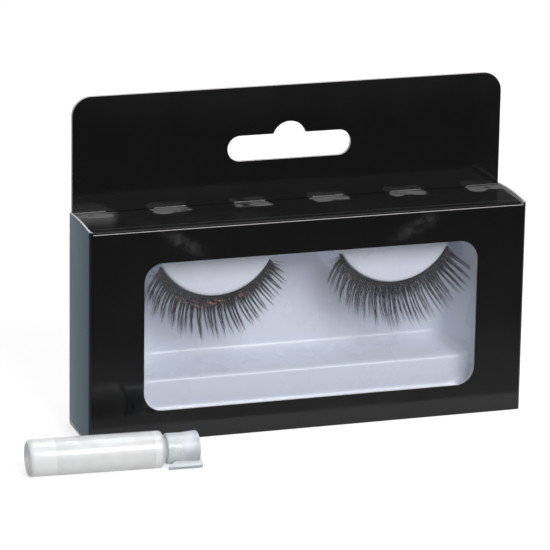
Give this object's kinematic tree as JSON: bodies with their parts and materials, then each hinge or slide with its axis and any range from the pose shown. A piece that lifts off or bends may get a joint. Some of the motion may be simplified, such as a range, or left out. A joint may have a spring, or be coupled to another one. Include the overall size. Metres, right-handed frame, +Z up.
{
  "type": "false eyelash case",
  "caption": "Hanging window carton for strip false eyelashes: folded board box with hang header, clear pane, formed lash tray, mirrored lashes and a capped adhesive vial.",
  "frame": {"origin": "middle of the carton's base", "axes": "+X along the carton's width, to the right as seen from the front; +Y from the front with the window to the back; +Z up, towards the hang header"},
  "size_m": [0.1321, 0.0428, 0.0828],
  "materials": {
    "carton_board": "gloss black laminate on white board",
    "clear_film": "clear",
    "tray_sheet": "satin white",
    "lash_fibre": "satin black",
    "clear_vial": "clear",
    "clear_label": "clear, bare",
    "white_adhesive": "milky liquid",
    "frosted_plastic": "translucent"
  },
  "bodies": {
    "carton": {"front_panel": "carton_board", "back_panel": "carton_board", "header_front_ply": "carton_board", "left_side_panel": "carton_board", "right_side_panel": "carton_board", "seam_flap": "carton_board", "window_film": "clear_film", "lash_tray": "tray_sheet"},
    "top_closure": {"top_lid": "carton_board"},
    "top_tuck": {"top_tuck_flap": "carton_board"},
    "bottom_closure": {"bottom_lid": "carton_board"},
    "bottom_tuck": {"bottom_tuck_flap": "carton_board"},
    "left_lash": {"left_lash_band": "lash_fibre", "left_lash_hairs": "lash_fibre"},
    "right_lash": {"right_lash_band": "lash_fibre", "right_lash_hairs": "lash_fibre"},
    "vial": {"vial_tube": "clear_vial", "vial_label": "clear_label", "vial_adhesive": "white_adhesive"},
    "stopper": {"vial_stopper": "frosted_plastic"}
  },
  "joints": [
    {"name": "top_lid_fold", "type": "hinge", "parent": "carton", "child": "top_closure", "pos_m": [0, 0.00865, 0.0537], "axis": [-1, 0, 0], "range_deg": [0, 90]},
    {"name": "top_tuck_fold", "type": "hinge", "parent": "top_closure", "child": "top_tuck", "pos_m": [0, -0.0081, 0.05315], "axis": [1, 0, 0], "range_deg": [0, 45]},
    {"name": "bottom_lid_fold", "type": "hinge", "parent": "carton", "child": "bottom_closure", "pos_m": [0, 0.0095, 0.00025], "axis": [1, 0, 0], "range_deg": [0, 110]},
    {"name": "bottom_tuck_fold", "type": "hinge", "parent": "bottom_closure", "child": "bottom_tuck", "pos_m": [0, -0.0081, 0.0005], "axis": [-1, 0, 0], "range_deg": [0, 55]},
    {"name": "left_lash_peel", "type": "slide", "parent": "carton", "child": "left_lash", "axis": [0, -1, 0], "range_m": [0, 0.003]},
    {"name": "right_lash_peel", "type": "slide", "parent": "carton", "child": "right_lash", "axis": [0, -1, 0], "range_m": [0, 0.003]},
    {"name": "vial_lift", "type": "slide", "parent": "carton", "child": "vial", "axis": [0, 0, 1], "range_m": [0, 0.06]},
    {"name": "stopper_pull", "type": "slide", "parent": "vial", "child": "stopper", "axis": [0.9983, -0.0576, 0], "range_m": [0, 0.028]}
  ],
  "couplings": [
    {"joint": "top_tuck_fold", "follows": "top_lid_fold", "ratio": 0.5},
    {"joint": "bottom_tuck_fold", "follows": "bottom_lid_fold", "ratio": 0.5}
  ]
}
